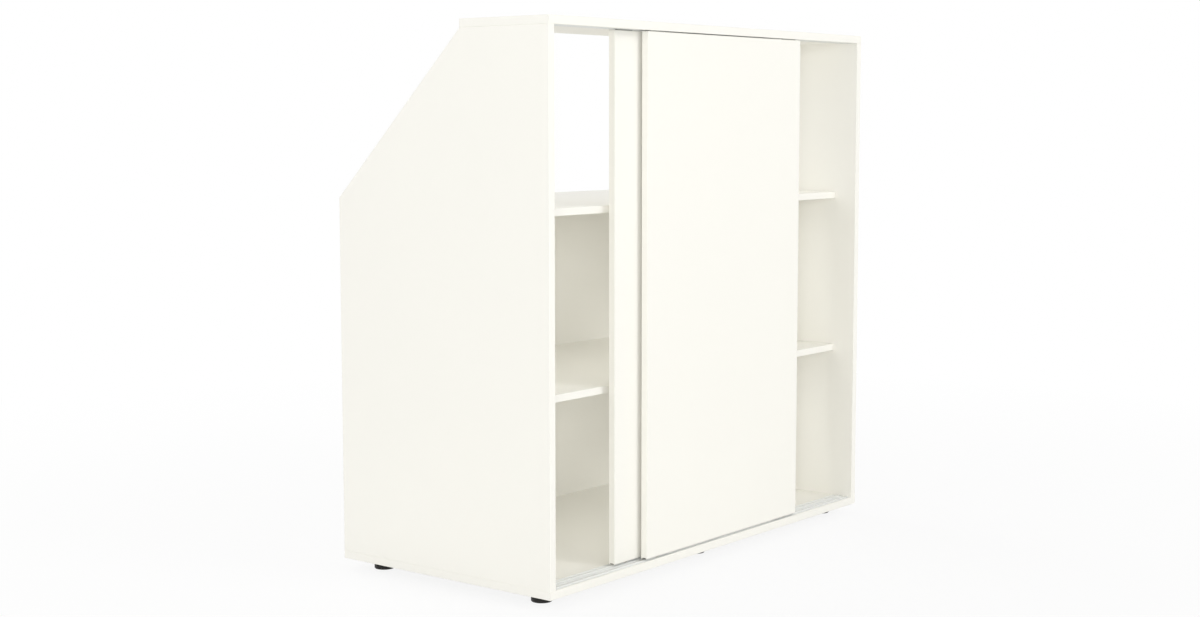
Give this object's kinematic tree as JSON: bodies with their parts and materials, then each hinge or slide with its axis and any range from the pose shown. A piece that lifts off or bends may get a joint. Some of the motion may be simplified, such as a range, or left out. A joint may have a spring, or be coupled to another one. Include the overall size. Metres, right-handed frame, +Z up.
{
  "type": "storage cabinet",
  "caption": "White storage cabinet cut to a sloping roof, open shelves behind handleless doors that slide on grooved wheels, low round feet.",
  "frame": {"origin": "on the floor under the middle of the cabinet's plan", "axes": "+X to the right seen from the front, +Y to the back, +Z up; the doors are at -Y"},
  "size_m": [1.2, 0.592, 1.19],
  "materials": {
    "white_board": "matt white melamine-faced board, edges banded in the same white",
    "back_board": "thin white lacquered fibreboard",
    "track_aluminium": "satin anodised",
    "foot_plastic": "black moulded",
    "carriage_plastic": "black moulded",
    "guide_plastic": "grey moulded",
    "wheel_nylon": "natural nylon",
    "axle_steel": "bright drawn pin"
  },
  "bodies": {
    "cabinet": {"bottom_panel": "white_board", "left_side_panel": "white_board", "right_side_panel": "white_board", "top_panel": "white_board", "upper_shelf": "white_board", "lower_shelf": "white_board", "back_panel": "back_board", "bottom_track": "track_aluminium", "top_track": "track_aluminium", "feet": "foot_plastic"},
    "front_door": {"front_door_panel": "white_board", "front_door_axles": "axle_steel", "front_door_left_carriage": "carriage_plastic", "front_door_left_guide": "guide_plastic", "front_door_right_carriage": "carriage_plastic", "front_door_right_guide": "guide_plastic"},
    "rear_door": {"rear_door_panel": "white_board", "rear_door_axles": "axle_steel", "rear_door_left_carriage": "carriage_plastic", "rear_door_left_guide": "guide_plastic", "rear_door_right_carriage": "carriage_plastic", "rear_door_right_guide": "guide_plastic"},
    "front_door_left_wheel": {"front_door_left_wheel": "wheel_nylon"},
    "front_door_right_wheel": {"front_door_right_wheel": "wheel_nylon"},
    "rear_door_left_wheel": {"rear_door_left_wheel": "wheel_nylon"},
    "rear_door_right_wheel": {"rear_door_right_wheel": "wheel_nylon"}
  },
  "joints": [
    {"name": "front_door_slide", "type": "slide", "parent": "cabinet", "child": "front_door", "axis": [1, 0, 0], "range_m": [-0.3095, 0.2565]},
    {"name": "rear_door_slide", "type": "slide", "parent": "cabinet", "child": "rear_door", "axis": [1, 0, 0], "range_m": [-0.2275, 0.3385]},
    {"name": "front_door_left_wheel_spin", "type": "hinge", "parent": "front_door", "child": "front_door_left_wheel", "pos_m": [-0.229, -0.285, 0.05252], "axis": [0, 1, 0], "continuous": true},
    {"name": "front_door_right_wheel_spin", "type": "hinge", "parent": "front_door", "child": "front_door_right_wheel", "pos_m": [0.282, -0.285, 0.05252], "axis": [0, 1, 0], "continuous": true},
    {"name": "rear_door_left_wheel_spin", "type": "hinge", "parent": "rear_door", "child": "rear_door_left_wheel", "pos_m": [-0.311, -0.261, 0.05252], "axis": [0, 1, 0], "continuous": true},
    {"name": "rear_door_right_wheel_spin", "type": "hinge", "parent": "rear_door", "child": "rear_door_right_wheel", "pos_m": [0.2, -0.261, 0.05252], "axis": [0, 1, 0], "continuous": true}
  ],
  "couplings": [
    {"joint": "front_door_left_wheel_spin", "follows": "front_door_slide", "rad_per_m": 95.707},
    {"joint": "front_door_right_wheel_spin", "follows": "front_door_slide", "rad_per_m": 95.707},
    {"joint": "rear_door_left_wheel_spin", "follows": "rear_door_slide", "rad_per_m": 95.707},
    {"joint": "rear_door_right_wheel_spin", "follows": "rear_door_slide", "rad_per_m": 95.707}
  ]
}
